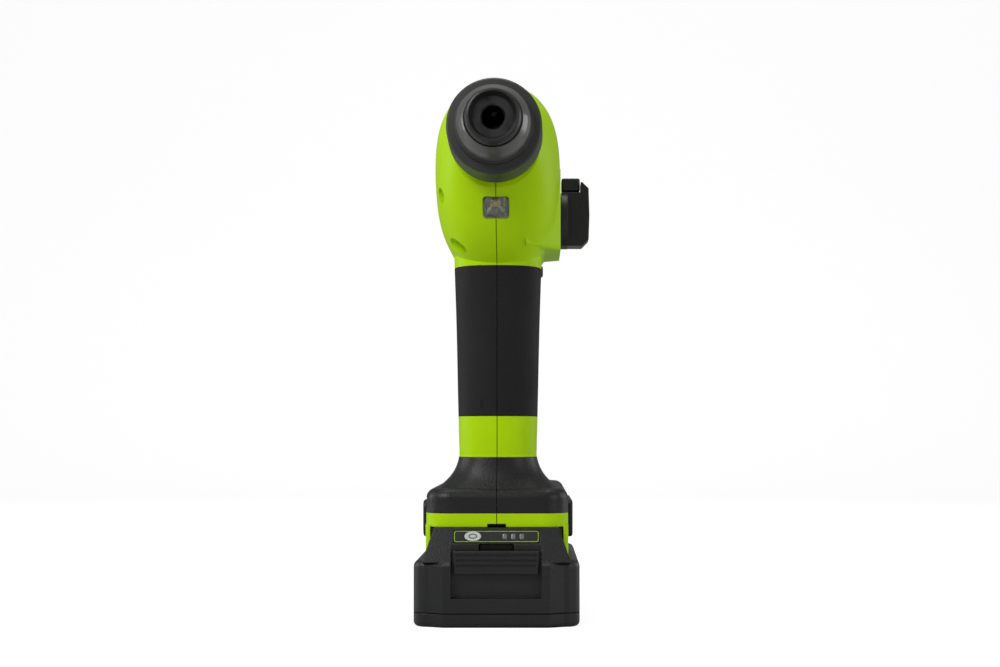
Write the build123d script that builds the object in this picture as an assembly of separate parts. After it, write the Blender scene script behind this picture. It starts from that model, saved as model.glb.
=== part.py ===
"""Cordless rotary hammer drill with a D-handled body, a quick-change chuck and a slide-on battery pack.

Millimetres, +Z up, the chuck points to -Y. The origin is the middle of the battery's resting face.
"left" and "right" are the user's, so the mode knob on +X is on the left side."""

from build123d import *
import math
import os

# ---------------------------------------------------------------- driving sizes
spindle_z = 231.0            # height of the chuck's axis
nose_y = -119.0              # front of the dust cap
shank_radius = 5.0           # bore for a 10 mm slotted shank
barrel_radius = 9.5          # outside of the spindle in the chuck
cylinder_radius = 9.6        # bore the piston and striker run in
running_gap = 0.05           # radial clearance of a shaft in its bush
half_gap = 0.15              # each housing half stops this far from the middle plane

head_wall = 2.8
skin = 1.8                   # rubber overmould thickness
core_wall = 2.8              # plastic under the overmould

grip_top, grip_bottom = 174.5, 101.0
foot_top, foot_seam, foot_under = 81.0, 54.0, 47.5
foot_half_width, foot_front, foot_rear = 34.7, -52.0, 88.0
foot_corner = 12.0

pinion_teeth, wheel_teeth, spindle_module = 14, 36, 1.25
motor_teeth, drive_teeth, motor_module = 8, 32, 0.9
countershaft_z = spindle_z - spindle_module * (pinion_teeth + wheel_teeth) / 2
motor_z = countershaft_z + motor_module * (motor_teeth + drive_teeth) / 2
wobble_y = 16.0              # middle of the wobble bearing

knob_y, knob_z = -7.0, 201.5
knob_throw = 3.0             # offset of the eccentric pin
boss_face = 31.2

battery_half_width, battery_front, battery_rear = 40.0, -58.5, 58.0
battery_base_height, battery_shoulder, battery_top = 7.0, 32.0, 47.3
battery_wall = 2.4
cell_radius, cell_length, cell_count, cell_pitch = 9.1, 65.0, 6, 18.5

contact_places = (-16, -8, 0, 8, 16)      # terminal blades across the foot
ball_y, ball_radius, ball_reach = -96.0, 3.5, 7.0

# Head outline at each station: y, half width, top, bottom, height of the widest point, squareness.
head_stations = [
    (-68.5, 21.0, 251.8, 208.0, 230.0, 2.1),
    (-62.0, 24.2, 255.5, 195.0, 228.0, 2.2),
    (-54.0, 27.5, 259.0, 184.0, 226.0, 2.3),
    (-40.0, 30.2, 263.5, 173.0, 223.0, 2.4),
    (-12.0, 31.0, 266.0, 170.0, 222.0, 2.4),
    (20.0, 31.0, 266.0, 172.0, 222.0, 2.5),
    (55.0, 31.3, 265.5, 182.0, 224.0, 2.8),
    (95.0, 29.0, 262.0, 188.0, 224.0, 2.6),
    (122.0, 24.0, 254.0, 192.0, 223.0, 2.4),
    (134.0, 15.0, 243.0, 202.0, 222.0, 2.2),
]
# Column outlines at each height: z, middle y, half width, half depth, squareness.
strut_stations = [
    (56, -24, 19.2, 19.0, 2.4),
    (82, -24, 19.3, 19.0, 2.4),
    (120, -24, 20.2, 19.2, 2.4),
    (160, -24, 21.2, 19.6, 2.4),
    (178, -24.5, 21.8, 20.5, 2.5),
    (200, -25, 22.0, 21.0, 2.6),
]
handle_stations = [
    (54, 66, 17.5, 20.0, 2.6),
    (84, 77, 17.0, 19.5, 2.6),
    (120, 89, 16.8, 19.5, 2.6),
    (160, 103, 17.5, 20.5, 2.6),
    (184, 110, 19.0, 21.5, 2.6),
    (205, 114, 20.0, 22.0, 2.6),
]
strut_flare_stations = [
    (60, -22, 33.0, 29.0, 3.6),
    (66, -22.5, 29.5, 26.0, 3.2),
    (71, -23.3, 24.2, 22.2, 2.8),
    (76, -24, 21.0, 20.0, 2.5),
    (82, -24, 19.3, 19.0, 2.4),
]
handle_flare_stations = [
    (60, 66, 29.0, 22.0, 3.2),
    (68, 70, 23.0, 21.0, 3.0),
    (76, 74, 18.6, 20.0, 2.7),
    (84, 77, 17.0, 19.5, 2.6),
]
# Where the housing screws cross the middle plane: y, z.
screw_places = [(-50.5, 207.3), (-44, 184), (64, 189), (119, 232), (-24, 91), (-40, 59), (79, 59), (83, 100)]
screw_homes = [0, 0, 0, 0, 2, 1, 1, 3]      # each screw's post ends inside the head, foot, strut or handle

lamp_plane = Plane(origin=(0, -64.3, 199.2), x_dir=(1, 0, 0), z_dir=(0, -0.85, -0.527))
trigger_plane = Plane(origin=(0, 80.5, 150), x_dir=(1, 0, 0), z_dir=(0, -0.945, 0.326))
gauge_plane = Plane(origin=(0, -55.6, 43.2), x_dir=(1, 0, 0), z_dir=(0, -0.931, 0.365))

parts = {}


# ---------------------------------------------------------------- shape helpers
def egg(across, up, down, power, count=20):
    """Points of a closed superellipse whose upper and lower halves may differ in height.

    They start a little past the top, so that the surfaces' seam runs where nothing is cut."""
    points = []
    for k in range(count):
        turn = 2 * math.pi * (k / count + 0.3)
        c, s = math.cos(turn), math.sin(turn)
        rise = up if s >= 0 else down
        points.append(
            (across * math.copysign(abs(c) ** (2 / power), c), rise * math.copysign(abs(s) ** (2 / power), s))
        )
    return points


def closed_face(points):
    """A face inside a closed smooth curve. Even parameters keep the lofts between such curves light."""
    steps = [k / len(points) for k in range(len(points) + 1)]
    return Face(Wire([Edge.make_spline([Vector(*p) for p in points], periodic=True, parameters=steps)]))


def head(inset):
    """The head's outer form, taken in by inset all round."""
    faces = []
    for k, (y, wide, top, bottom, middle, power) in enumerate(head_stations):
        if k == 0:
            y += inset
        if k == len(head_stations) - 1:
            y -= inset
        ring = egg(wide - inset, top - inset - middle, middle - bottom - inset, power)
        faces.append(closed_face([(x, y, middle + z) for x, z in ring]))
    return loft(faces)


def column(stations, inset):
    """An upright column through outlines at rising heights, taken in by inset."""
    faces = []
    for z, y, wide, deep, power in stations:
        ring = egg(wide - inset, deep - inset, deep - inset, power)
        faces.append(closed_face([(x, y + d, z) for x, d in ring]))
    return loft(faces)


def span(x0, x1, y0, y1, z0, z1):
    """A box from its lowest to its highest corner."""
    return Pos((x0 + x1) / 2, (y0 + y1) / 2, (z0 + z1) / 2) * Box(x1 - x0, y1 - y0, z1 - z0)


def slab(z0, z1):
    return span(-90, 90, -150, 170, z0, z1)


def rounded_block(half_width, y0, y1, z0, z1, corner, top_round=0.0, bottom_round=0.0):
    """An upright block with rounded corners in plan, and rounded top and bottom edges if asked."""
    base = Pos(0, (y0 + y1) / 2, z0) * RectangleRounded(2 * half_width, y1 - y0, corner)
    block = extrude(base, z1 - z0)
    if top_round:
        block = fillet(block.faces().sort_by(Axis.Z)[-1].edges(), top_round)
    if bottom_round:
        block = fillet(block.faces().sort_by(Axis.Z)[0].edges(), bottom_round)
    return block


def turned(profile, z, x=0.0, rounding=0.0):
    """A solid turned about a front-to-back axis at height z. The profile is (y, radius) pairs."""
    plane = Plane(origin=(x, 0, z), x_dir=(0, 1, 0), z_dir=(1, 0, 0))
    face = make_face(Polyline(*profile, close=True))
    if rounding:
        face = fillet(face.vertices(), rounding)
    return revolve(plane * face, Axis((x, 0, z), (0, 1, 0)))


def rod_y(radius, y0, y1, z, x=0.0):
    return Pos(x, (y0 + y1) / 2, z) * Rot(90, 0, 0) * Cylinder(radius, y1 - y0)


def rod_x(radius, x0, x1, y, z):
    return Pos((x0 + x1) / 2, y, z) * Rot(0, 90, 0) * Cylinder(radius, x1 - x0)


def rod_z(radius, z0, z1, x, y):
    return Pos(x, y, (z0 + z1) / 2) * Cylinder(radius, z1 - z0)


def tube_y(outer, inner, y0, y1, z, x=0.0):
    return rod_y(outer, y0, y1, z, x) - rod_y(inner, y0 - 1, y1 + 1, z, x)


def across_y(sketch, y0, y1):
    """Extrudes a sketch drawn in x and z between two stations along y."""
    return extrude(Plane(origin=(0, y1, 0), x_dir=(1, 0, 0), z_dir=(0, -1, 0)) * sketch, y1 - y0)


def gear_outline(teeth, module, shift, first_angle, backlash=0.12, addendum=0.85):
    """Involute spur gear outline as straight-sided points, pressure angle 20 degrees."""
    pressure = math.radians(20)
    pitch = module * teeth / 2
    base = pitch * math.cos(pressure)
    tip = pitch + module * (addendum + shift)
    root = pitch - module * (1.1 - shift)
    half_pitch_angle = math.pi / (2 * teeth) + (2 * shift * math.tan(pressure)) / teeth - backlash / (2 * pitch)
    involute = math.tan(pressure) - pressure

    def half_angle(radius):
        a = math.acos(min(1.0, base / radius))
        return half_pitch_angle + involute - (math.tan(a) - a)

    low = max(base, root)
    radii = [low + (tip - low) * k / 3 for k in range(4)]
    points = []
    for tooth in range(teeth):
        middle = math.radians(first_angle) + 2 * math.pi * tooth / teeth
        flank = [(r, half_angle(r)) for r in radii]
        if root < low:
            flank.insert(0, (root, half_angle(low)))
        for r, a in flank:
            points.append((r * math.cos(middle - a), r * math.sin(middle - a)))
        for r, a in reversed(flank):
            points.append((r * math.cos(middle + a), r * math.sin(middle + a)))
    return points


def gear(teeth, module, shift, first_angle, bore, y0, y1, z):
    outline = make_face(Polyline(*gear_outline(teeth, module, shift, first_angle), close=True))
    return across_y(Pos(0, z) * (outline - Circle(bore)), y0, y1)


def spring_y(radius, wire, y0, y1, turns, z):
    """A compression spring wound about a front-to-back axis."""
    path = Helix(pitch=(y1 - y0 - 2 * wire) / turns, height=y1 - y0 - 2 * wire, radius=radius)
    start = Plane(origin=path @ 0, z_dir=path % 0)
    coil = sweep(start * Circle(wire), path=path)
    return Pos(0, y0 + wire, z) * Rot(-90, 0, 0) * coil


def spring_z(radius, wire, z0, z1, turns, x, y):
    path = Helix(pitch=(z1 - z0 - 2 * wire) / turns, height=z1 - z0 - 2 * wire, radius=radius)
    start = Plane(origin=path @ 0, z_dir=path % 0)
    return Pos(x, y, z0 + wire) * sweep(start * Circle(wire), path=path)


def ball_bearing(outer, inner, y0, y1, z):
    """A shielded bearing: a ring with a shallow groove in each face where the shields sit."""
    ring = tube_y(outer, inner, y0, y1, z)
    shield_outer, shield_inner = outer - 1.1, inner + 1.1
    for face_y in (y0, y1):
        ring -= tube_y(shield_outer, shield_inner, face_y - 0.35, face_y + 0.35, z)
    return ring


# ---------------------------------------------------------------- housing
def foot_block(inset, bottom):
    return rounded_block(
        foot_half_width - inset, foot_front + inset, foot_rear - inset, bottom, 66.0 - inset,
        foot_corner - inset, top_round=max(1.0, 5.0 - inset))


def foot_forms(inset, bottom):
    """The foot and the flares that rise from it to the strut and the handle."""
    return [foot_block(inset, bottom), column(strut_flare_stations, inset), column(handle_flare_stations, inset)]


def without(shape, forms):
    """Takes the forms away one by one, which leaves cleaner edges than taking their union away."""
    for form in forms:
        shape = shape - form
    return shape


def knob_boss():
    """The flat-faced pad that carries the mode knob, spreading into the head's side."""
    outer = Plane(origin=(boss_face, -8, 203.8), x_dir=(0, 1, 0), z_dir=(1, 0, 0)) * RectangleRounded(46, 40.5, 2.5)
    inner = Plane(origin=(14, -13, 204.5), x_dir=(0, 1, 0), z_dir=(1, 0, 0)) * RectangleRounded(80, 42, 2.5)
    return loft([inner, outer])


def vent_window(grow):
    """Prisms on both sides where the louvred vents are let into the head."""
    outline = Plane(origin=(0, 61, 207), x_dir=(0, 1, 0), z_dir=(1, 0, 0)) * RectangleRounded(
        44 + 2 * grow, 34 + 2 * grow, 5)
    prism = extrude(outline, 60)
    return prism + prism.mirror(Plane.YZ)


def battery_channel():
    """Skirts, slide rails and stop wall under the foot."""
    skirt_bottom, rail_bottom, rail_top = 32.6, 34.8, 39.3
    channel = span(-foot_half_width, foot_half_width, -48, 84, skirt_bottom, foot_under + 1)
    channel = fillet(channel.edges().filter_by(Axis.Z), 3)
    channel -= span(-32.2, 32.2, -60, 56, skirt_bottom - 1, foot_under)
    for side in (-1, 1):
        low, high = sorted((side * 27.3, side * 32.2))
        channel += span(low, high, -44, 58, rail_bottom, rail_top)
    return channel


def make_housing():
    outer = head(0) + column(strut_stations, 0) + column(handle_stations, 0)
    for form in foot_forms(0, foot_under):
        outer += form
    outer += knob_boss()
    strut_core, handle_core = column(strut_stations, skin), column(handle_stations, skin)
    strut_skin = (column(strut_stations, 0) & slab(grip_bottom, grip_top)) - strut_core
    handle_zone = slab(86, 170) - span(-60, 60, 40, 97, 126, 180)
    handle_skin = (column(handle_stations, 0) & handle_zone) - handle_core
    foot_skin = without(outer & slab(foot_seam, foot_top), foot_forms(skin, foot_seam - 2) + [strut_core, handle_core])

    inner = skin + core_wall
    hollows = [head(head_wall), column(strut_stations, inner) & slab(58, 201)]
    hollows += [column(handle_stations, inner) & slab(58, 206)] + foot_forms(inner, foot_under + 4)
    shell = without(outer, [strut_skin, handle_skin, foot_skin] + hollows) + battery_channel()

    shell -= rod_y(18.8, -75, -62, spindle_z)
    shell -= extrude(lamp_plane * RectangleRounded(12.3, 10.8, 1.6), 12, both=True)
    shell -= extrude(trigger_plane * RectangleRounded(17.6, 36.6, 4), 13, both=True)
    shell -= span(-40, 40, 85.6, 93.4, 183.1, 189.9)
    shell -= rod_x(5.3, 10, 40, knob_y, knob_z)
    shell -= vent_window(0.1)
    shell -= span(-21, 21, 22, 50, 46, 52.5)
    shell -= span(-4.5, 4.5, -60, -33, 46, 49.0)
    shell -= span(-31, 31, 59, 81, 36, 52)

    inside_forms = [head(2.2), foot_block(3, 49), column(strut_stations, 3), column(handle_stations, 3)]
    for place, (y, z) in enumerate(screw_places):
        posts = rod_x(5.0, -40, 0, y, z) + rod_x(4.3, 0, 40, y, z)
        shell += posts & inside_forms[screw_homes[place]]
    recesses = Part() + [rod_x(3.7, -60, -8, y, z) for y, z in screw_places]
    pilots = Part() + [rod_x(1.6, -9, 11, y, z) for y, z in screw_places]
    holes = recesses + pilots

    right_side = span(-90, -half_gap, -150, 170, 0, 300)
    left_side = span(half_gap, 90, -150, 170, 0, 300)
    parts["housing_right"] = (shell & right_side) - holes
    parts["housing_left"] = (shell & left_side) - holes
    for name, piece in (("front_grip", strut_skin), ("rear_grip", handle_skin), ("foot_cover", foot_skin)):
        parts[name + "_right"] = (piece & right_side) - holes
        parts[name + "_left"] = piece & left_side


def make_vents():
    """Louvred panels let into both sides over the motor."""
    panel = (head(-0.7) - head(2.0)) & vent_window(0)
    for k in range(9):
        z = 194.0 + 3.3 * k
        panel -= span(-60, 60, 44, 78, z - 0.75, z + 0.75)
    parts["vent_grilles"] = panel


def make_bumpers():
    pad = span(foot_half_width, foot_half_width + 2.6, -28, 32, 41, 59.5)
    pad = fillet(pad.edges().filter_by(Axis.X), 4)
    pad = fillet(pad.faces().sort_by(Axis.X)[-1].edges(), 1.2)
    parts["side_bumpers"] = pad + pad.mirror(Plane.YZ)


def make_housing_screws():
    screws = Part()
    for y, z in screw_places:
        screw = rod_x(3.2, -10.4, -8, y, z) + rod_x(1.5, -8, 9, y, z)
        screw -= Pos(-10.4, y, z) * Box(2.4, 0.9, 3.6)
        screw -= Pos(-10.4, y, z) * Box(2.4, 3.6, 0.9)
        screws += screw
    parts["housing_screws"] = screws


def make_lamp():
    lens = extrude(lamp_plane * RectangleRounded(12, 10.5, 1.5), 0.4) + extrude(
        lamp_plane * RectangleRounded(12, 10.5, 1.5), -4.6)
    parts["lamp_lens"] = lens
    board = extrude(lamp_plane.offset(-7.6) * Rectangle(15, 12), -1.6)
    chip = extrude(lamp_plane.offset(-6.4) * Rectangle(3.5, 3.5), -1.2)
    parts["lamp_board"] = board + chip


# ---------------------------------------------------------------- chuck and spindle
def make_spindle():
    profile = [
        (-115.5, 5.8), (-114.7, shank_radius), (-103, shank_radius), (-103, 5.3), (-73, 5.3), (-72, 6.7),
        (-52, 6.7), (-50, cylinder_radius), (4, cylinder_radius), (4, 12), (-62, 12), (-62, 14.8), (-66, 14.8),
        (-66, barrel_radius), (-109, barrel_radius), (-109, 9.2), (-115.5, 9.2),
    ]
    spindle = turned(profile, spindle_z)
    for side in (-1, 1):
        spindle -= rod_x(3.6, *sorted((side * 3.0, side * 12.0)), ball_y, spindle_z)
        key = Pos(0, -92.5, spindle_z + side * 4.9) * Box(2.4, 13, 2.2)
        spindle += key & rod_y(6.5, -99.5, -85.5, spindle_z)
    parts["spindle"] = spindle

    parts["spindle_gear"] = gear(wheel_teeth, spindle_module, 0, -90, 12, -30, -20, spindle_z) + tube_y(
        15.5, 12, -20, -14, spindle_z)
    cap = [
        (-110, 9.2), (-115.5, 9.2), (-119, 10.6), (-118.6, 11.7), (-117, 12.4), (-115, 12.6), (-110, 12.6),
    ]
    parts["dust_cap"] = turned(cap, spindle_z, rounding=0.3)
    parts["chuck_spring"] = spring_y(12.3, 0.8, -89.9, -66.1, 6, spindle_z)


def make_chuck_sleeve():
    """The collar that is pulled back to free the bit, and the steel ring in it that holds the balls in."""
    outer = [
        (-75.5, 19.6), (-75.5, 21.6), (-76.2, 22.0), (-96.4, 21.7), (-97.3, 20.9), (-97.6, 18.0), (-100.6, 17.7),
        (-100.9, 16.4), (-101.7, 16.3), (-102.1, 16.9), (-106, 16.5), (-109.5, 15.3), (-112.2, 14.0), (-113.4, 13.3),
        (-113.4, 12.95), (-105.2, 12.95), (-105.2, 14.4), (-89.8, 14.4), (-88, 19.6),
    ]
    parts["chuck_sleeve"] = turned(outer, spindle_z)
    cone_slope, cone_start = 0.3, 10.35
    cone_end = cone_start + cone_slope * 10.5
    ring = [(-90, 9.9), (-92, 9.9), (-94.5, cone_start), (-105, cone_end), (-105, 14.3), (-90, 14.3)]
    parts["locking_ring"] = turned(ring, spindle_z)
    for side, name in ((-1, "right"), (1, "left")):
        parts["locking_ball_" + name] = Pos(side * ball_reach, ball_y, spindle_z) * Sphere(ball_radius)


# ---------------------------------------------------------------- hammer mechanism
def make_hammer():
    bolt = [(-78, 0), (-78, 3.9), (-77.3, 4.6), (-67, 4.6), (-65.5, 6.65), (-55, 6.65), (-54, 4.6), (-48, 4.6), (-48, 0)]
    parts["impact_bolt"] = turned(bolt, spindle_z)
    striker = [
        (-36, 0), (-36, 5.0), (-33, 5.6), (-32, 9.55), (-25, 9.55), (-25, 8.3), (-22.6, 8.3), (-22.6, 9.55),
        (-16, 9.55), (-16, 0),
    ]
    parts["striker"] = turned(striker, spindle_z)
    parts["striker_ring"] = Pos(0, -23.8, spindle_z) * Rot(90, 0, 0) * Torus(8.75, 0.75) & tube_y(
        9.5, 8.3, -25, -22.6, spindle_z)
    piston = rod_y(9.55, -4, 10, spindle_z) - rod_y(7.6, -5, 4, spindle_z)
    fork = span(-9.2, 9.2, 9, 21.5, spindle_z - 5.2, spindle_z + 5.2) & rod_y(9.55, 8, 24, spindle_z)
    fork -= span(-5.6, 5.6, 10.5, 25, spindle_z - 9, spindle_z + 9)
    parts["piston"] = (piston + fork) - rod_x(3.6, -12, 12, wobble_y, spindle_z)
    pin = rod_x(3.55, -9.0, 9.0, wobble_y, spindle_z) - rod_z(2.95, spindle_z - 6, spindle_z + 6, 0, wobble_y)
    parts["piston_pin"] = pin


def make_wobble():
    """The wobble ring rocks on the countershaft's rounded hub, and its finger drives the piston pin."""
    ring = rod_y(13.5, wobble_y - 4.5, wobble_y + 4.5, countershaft_z)
    ring -= Pos(0, wobble_y, countershaft_z) * Sphere(9.3)
    finger = rod_z(4.2, countershaft_z + 11, countershaft_z + 16.5, 0, wobble_y)
    finger += rod_z(2.5, countershaft_z + 15, spindle_z + 4.6, 0, wobble_y)
    finger = finger - Pos(0, wobble_y, countershaft_z) * Sphere(9.3)
    parts["wobble_ring"] = fillet(ring.edges().filter_by(GeomType.CIRCLE).sort_by(SortBy.RADIUS)[-2:], 1.0) + finger
    hub = (Pos(0, wobble_y, countershaft_z) * Sphere(8.9)) & rod_y(12, wobble_y - 7, wobble_y + 7, countershaft_z)
    groove = Pos(0, wobble_y, countershaft_z) * Rot(12, 0, 0) * Rot(90, 0, 0) * Torus(9.6, 1.8)
    parts["wobble_hub"] = (hub - groove) - rod_y(5, wobble_y - 10, wobble_y + 10, countershaft_z)


def make_countershaft():
    shaft = rod_y(4, -36.9, 44.5, countershaft_z) + rod_y(5, -31.8, 39.5, countershaft_z)
    shaft += gear(pinion_teeth, spindle_module, 0, 90 + 180 / pinion_teeth, 4, -30.5, -18, countershaft_z)
    parts["countershaft"] = shaft
    parts["countershaft_gear"] = gear(drive_teeth, motor_module, -0.35, 90, 5, 30.5, 38, countershaft_z)
    sleeve = [
        (-12, 5 + running_gap), (-12, 8), (-8.7, 8), (-8.7, 6.5), (-5.3, 6.5), (-5.3, 8), (-2, 8), (-2, 5 + running_gap),
    ]
    parts["clutch_sleeve"] = turned(sleeve, countershaft_z)


def make_shift_fork():
    """The fork sits in the clutch sleeve's groove and is moved by the knob's eccentric pin."""
    plate = across_y(Pos(0, countershaft_z) * (Circle(10.2) - Circle(6.8)), knob_y - 1.3, knob_y + 1.3)
    plate -= span(-20, -1, -20, 10, countershaft_z - 20, countershaft_z + 20)
    block = span(9.6, 14.6, knob_y - 4, knob_y + 4, knob_z - 4.5, knob_z + 8)
    slot = span(8, 16, knob_y - 1.75, knob_y + 1.75, knob_z + knob_throw - 3.6, knob_z + knob_throw + 1.8)
    parts["shift_fork"] = (plate + block) - slot


def hull_outline(grow):
    """The gearbox section: a round lobe about the spindle run into one about the countershaft."""
    lobes = Pos(0, spindle_z) * Circle(24.2 + grow) + Pos(0, countershaft_z) * Circle(15.4 + grow)
    return make_face(make_hull(lobes.edges()).edges())


def make_gear_case():
    wall = 1.8
    case = across_y(hull_outline(wall), -38.4, 40) + rod_y(25.6, -44.5, -38, spindle_z)
    case -= across_y(hull_outline(0), -32.5, 41)
    case += rod_y(18.5, -73, -40, spindle_z)
    case -= rod_y(15.3, -74, -62, spindle_z)
    case -= rod_y(16.5, -62, -30, spindle_z)
    case -= rod_y(8.0, -37.4, -30, countershaft_z)
    case -= rod_x(5.2, 10, 30, knob_y, knob_z)
    parts["gear_case"] = case
    plate = across_y(hull_outline(wall), 40, 45) - rod_y(8, 39, 46, countershaft_z) - rod_y(8, 39, 46, motor_z)
    parts["gear_plate"] = plate - rod_y(13.2, 39, 42.5, spindle_z + 14)
    bearings = ball_bearing(16.5, 12 + running_gap, -61.9, -52, spindle_z)
    bearings += ball_bearing(8, 4 + running_gap, -37.4, -32.6, countershaft_z)
    bearings += ball_bearing(8, 4 + running_gap, 40, 45, countershaft_z)
    bearings += ball_bearing(8, 2.5 + running_gap, 40, 45, motor_z)
    bearings += ball_bearing(8, 2.5 + running_gap, 98, 103, motor_z)
    parts["ball_bearings"] = bearings


# ---------------------------------------------------------------- motor
def make_motor():
    can = tube_y(22, 20.3, 49, 92, motor_z) + tube_y(22, 5, 47.2, 49, motor_z)
    for side in (-1, 1):
        can += (tube_y(20.3, 15, 56, 86, motor_z)) & span(
            *sorted((side * 4, side * 30)), 50, 90, motor_z - 12, motor_z + 12)
    parts["motor_can"] = can
    cap = rod_y(21.5, 92, 104, motor_z) - rod_y(19, 91, 98, motor_z) - rod_y(8, 97.9, 103, motor_z)
    cap -= rod_y(3.5, 90, 110, motor_z)
    parts["brush_holder"] = cap
    core = rod_y(13.6, 57, 85, motor_z) - rod_y(2.5, 50, 90, motor_z)
    for k in range(10):
        slot = Pos(0, 71, motor_z) * Rot(0, 36 * k, 0) * Pos(0, 0, 12) * Box(2.2, 29, 5)
        core -= slot
    parts["rotor_core"] = core
    shaft = rod_y(2.5, 39, 103, motor_z) + rod_y(7.5, 88, 96, motor_z) + rod_y(1.8, 30.5, 40, motor_z)
    shaft += gear(motor_teeth, motor_module, 0.35, -90 + 180 / motor_teeth, 1.5, 30.5, 39.5, motor_z)
    parts["rotor_shaft"] = shaft
    fan = tube_y(18.6, 2.5, 50.5, 51.5, motor_z) + tube_y(6, 2.5, 51.5, 55.5, motor_z)
    for k in range(12):
        blade = Pos(0, 53.3, motor_z) * Rot(0, 30 * k, 0) * Pos(0, 0, 11.6) * Rot(0, 0, 12) * Box(0.9, 4, 13)
        fan += blade
    parts["cooling_fan"] = fan


# ---------------------------------------------------------------- controls
def make_mode_knob():
    disc = rod_x(14.4, boss_face + 0.4, 35, knob_y, knob_z)
    bar_low, bar_high, bar_outer = 188.0, 220.4, 46.2
    outline = Polyline(
        (33.0, bar_low), (bar_outer - 3.8, bar_low), (bar_outer - 0.4, bar_low + 3.4), (bar_outer, knob_z + 2),
        (bar_outer - 0.4, bar_high - 3.2), (42.6, bar_high), (41.8, bar_high), (41.8, 213.2), (33.0, 213.2), close=True)
    bar = extrude(Plane(origin=(0, knob_y + 6.5, 0), x_dir=(1, 0, 0), z_dir=(0, -1, 0)) * make_face(outline), 13)
    bar += span(33.0, 42.2, knob_y - 6.5, knob_y - 5.4, 213.0, 215.2)
    bar += span(33.0, 42.2, knob_y + 5.4, knob_y + 6.5, 213.0, 215.2)
    knob = disc + bar
    knob -= span(30, 41.8, knob_y - 5.4, knob_y + 5.4, 213.4, 219)
    parts["mode_knob"] = knob - rod_x(4.0, 30, 38, knob_y, knob_z)
    shaft = rod_x(4.0, 15.4, 38, knob_y, knob_z) + rod_x(5.15, 15.4, boss_face + 0.3, knob_y, knob_z)
    shaft += rod_x(1.5, 10.6, 16, knob_y, knob_z + knob_throw)
    parts["knob_shaft"] = shaft
    button = span(32.0, 41.4, knob_y - 5.0, knob_y + 5.0, 216.0, 222.7)
    button = fillet(button.edges(), 1.1)
    parts["knob_button"] = button


def make_trigger():
    body = extrude(trigger_plane * RectangleRounded(16.8, 35, 4), 9) + extrude(
        trigger_plane * RectangleRounded(16.8, 35, 4), -8.4)
    front = body.faces().sort_by(Axis((0, 0, 0), (0, -0.945, 0.326)))[-1]
    body = fillet(front.edges(), 3)
    scoop = trigger_plane * Pos(0, 2, 32) * Rot(0, 90, 0) * Cylinder(25.5, 40)
    parts["trigger"] = body - scoop
    case = extrude(trigger_plane.offset(-17) * Rectangle(16, 30), -11)
    parts["switch_body"] = case
    lever = span(-23.2, 23.2, 86, 93, 183.6, 189.4)
    lever = fillet(lever.faces().sort_by(Axis.X)[0].edges() + lever.faces().sort_by(Axis.X)[-1].edges(), 1.0)
    parts["direction_lever"] = lever


def make_electronics():
    board = span(-22, 22, -26, 19, 55.0, 56.6)
    board += span(-16, -6, -20, 0, 56.6, 60.4)
    board += rod_x(2.1, 0, 16, -14, 58.7) + rod_x(2.1, 0, 16, -6, 58.7)
    board += span(2, 14, 4, 14, 56.6, 59.6)
    parts["control_board"] = board
    block = span(-20.8, 20.8, 22.2, 49.8, 47.6, 54.0)
    blades = Part()
    for x in contact_places:
        blades += span(x - 0.5, x + 0.5, 27, 45, 35.5, 56.0)
    parts["terminal_block"] = block - blades
    parts["terminal_blades"] = blades


# ---------------------------------------------------------------- battery


def battery_body(inset):
    """The pack's main body in plan, with the raised block at its front, from the base seam to the shoulder."""
    bottom = battery_base_height
    body = rounded_block(
        battery_half_width - inset, battery_front + inset, battery_rear - inset, bottom, battery_shoulder - inset,
        7 - inset, top_round=3.4 - inset / 2)
    return body


def battery_nose(z0, z1, nose_y):
    """The raised block on the pack's front, with slanted sides."""
    outline = Polyline((-33.5, -58), (-25.5, nose_y), (25.5, nose_y), (33.5, -58), (33.5, -50), (-33.5, -50), close=True)
    return Pos(0, 0, z0) * extrude(make_face(outline), z1 - z0)


def make_battery_case():
    case = battery_body(0)
    front = battery_nose(battery_base_height, 31.2, -62)
    case += chamfer(front.faces().sort_by(Axis.Z)[-1].edges().sort_by(Axis.Y)[:3], 1.6)
    low = Pos(0, -54.25, 31) * Rectangle(71.2, 11.5)
    high = Pos(0, -51.25, battery_top) * Rectangle(60, 5.5)
    tower = loft([low, high])
    case += tower
    rail = span(-26.6, 26.6, -49, 54, 31, 46.8) + span(-31.6, 31.6, -49, 54, 39.8, 46.8)
    case += rail
    case -= battery_body(battery_wall) + span(-37.6, 37.6, -56.1, 55.6, battery_base_height, 12)
    case -= span(-24, 24, -46, 50, 28, 44.4)
    case += span(-18, 18, -56.3, -49.5, 21.7, 22.7)
    case -= span(-18.4, 18.4, -57.5, -44, 25.4, 34.6)
    case -= span(-8.4, 8.4, -57.5, -44, 34, 39.6)
    case -= span(-21.6, 21.6, -64, -57.0, 13.9, 39.1)
    case -= span(-6.6, 6.6, -43.6, -33.4, 44, 48)
    for x in contact_places:
        case -= span(x - 1.2, x + 1.2, 18, 55, 34.8, 48)
    case -= extrude(gauge_plane * RectangleRounded(41.4, 6.3, 1.0), 6)
    case -= extrude(gauge_plane * RectangleRounded(41.4, 6.3, 1.0), -1.0)
    case -= extrude(gauge_plane * Pos(-11.3, 0) * Ellipse(4.3, 2.7), -3.4)
    for x in (-35.2, 35.2):
        for y in (-51.5, 50.5):
            case += rod_z(2.35, battery_base_height, 30, x, y) & battery_body(0)
            case -= rod_z(1.05, 2, 20, x, y)
    parts["battery_case"] = case


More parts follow.
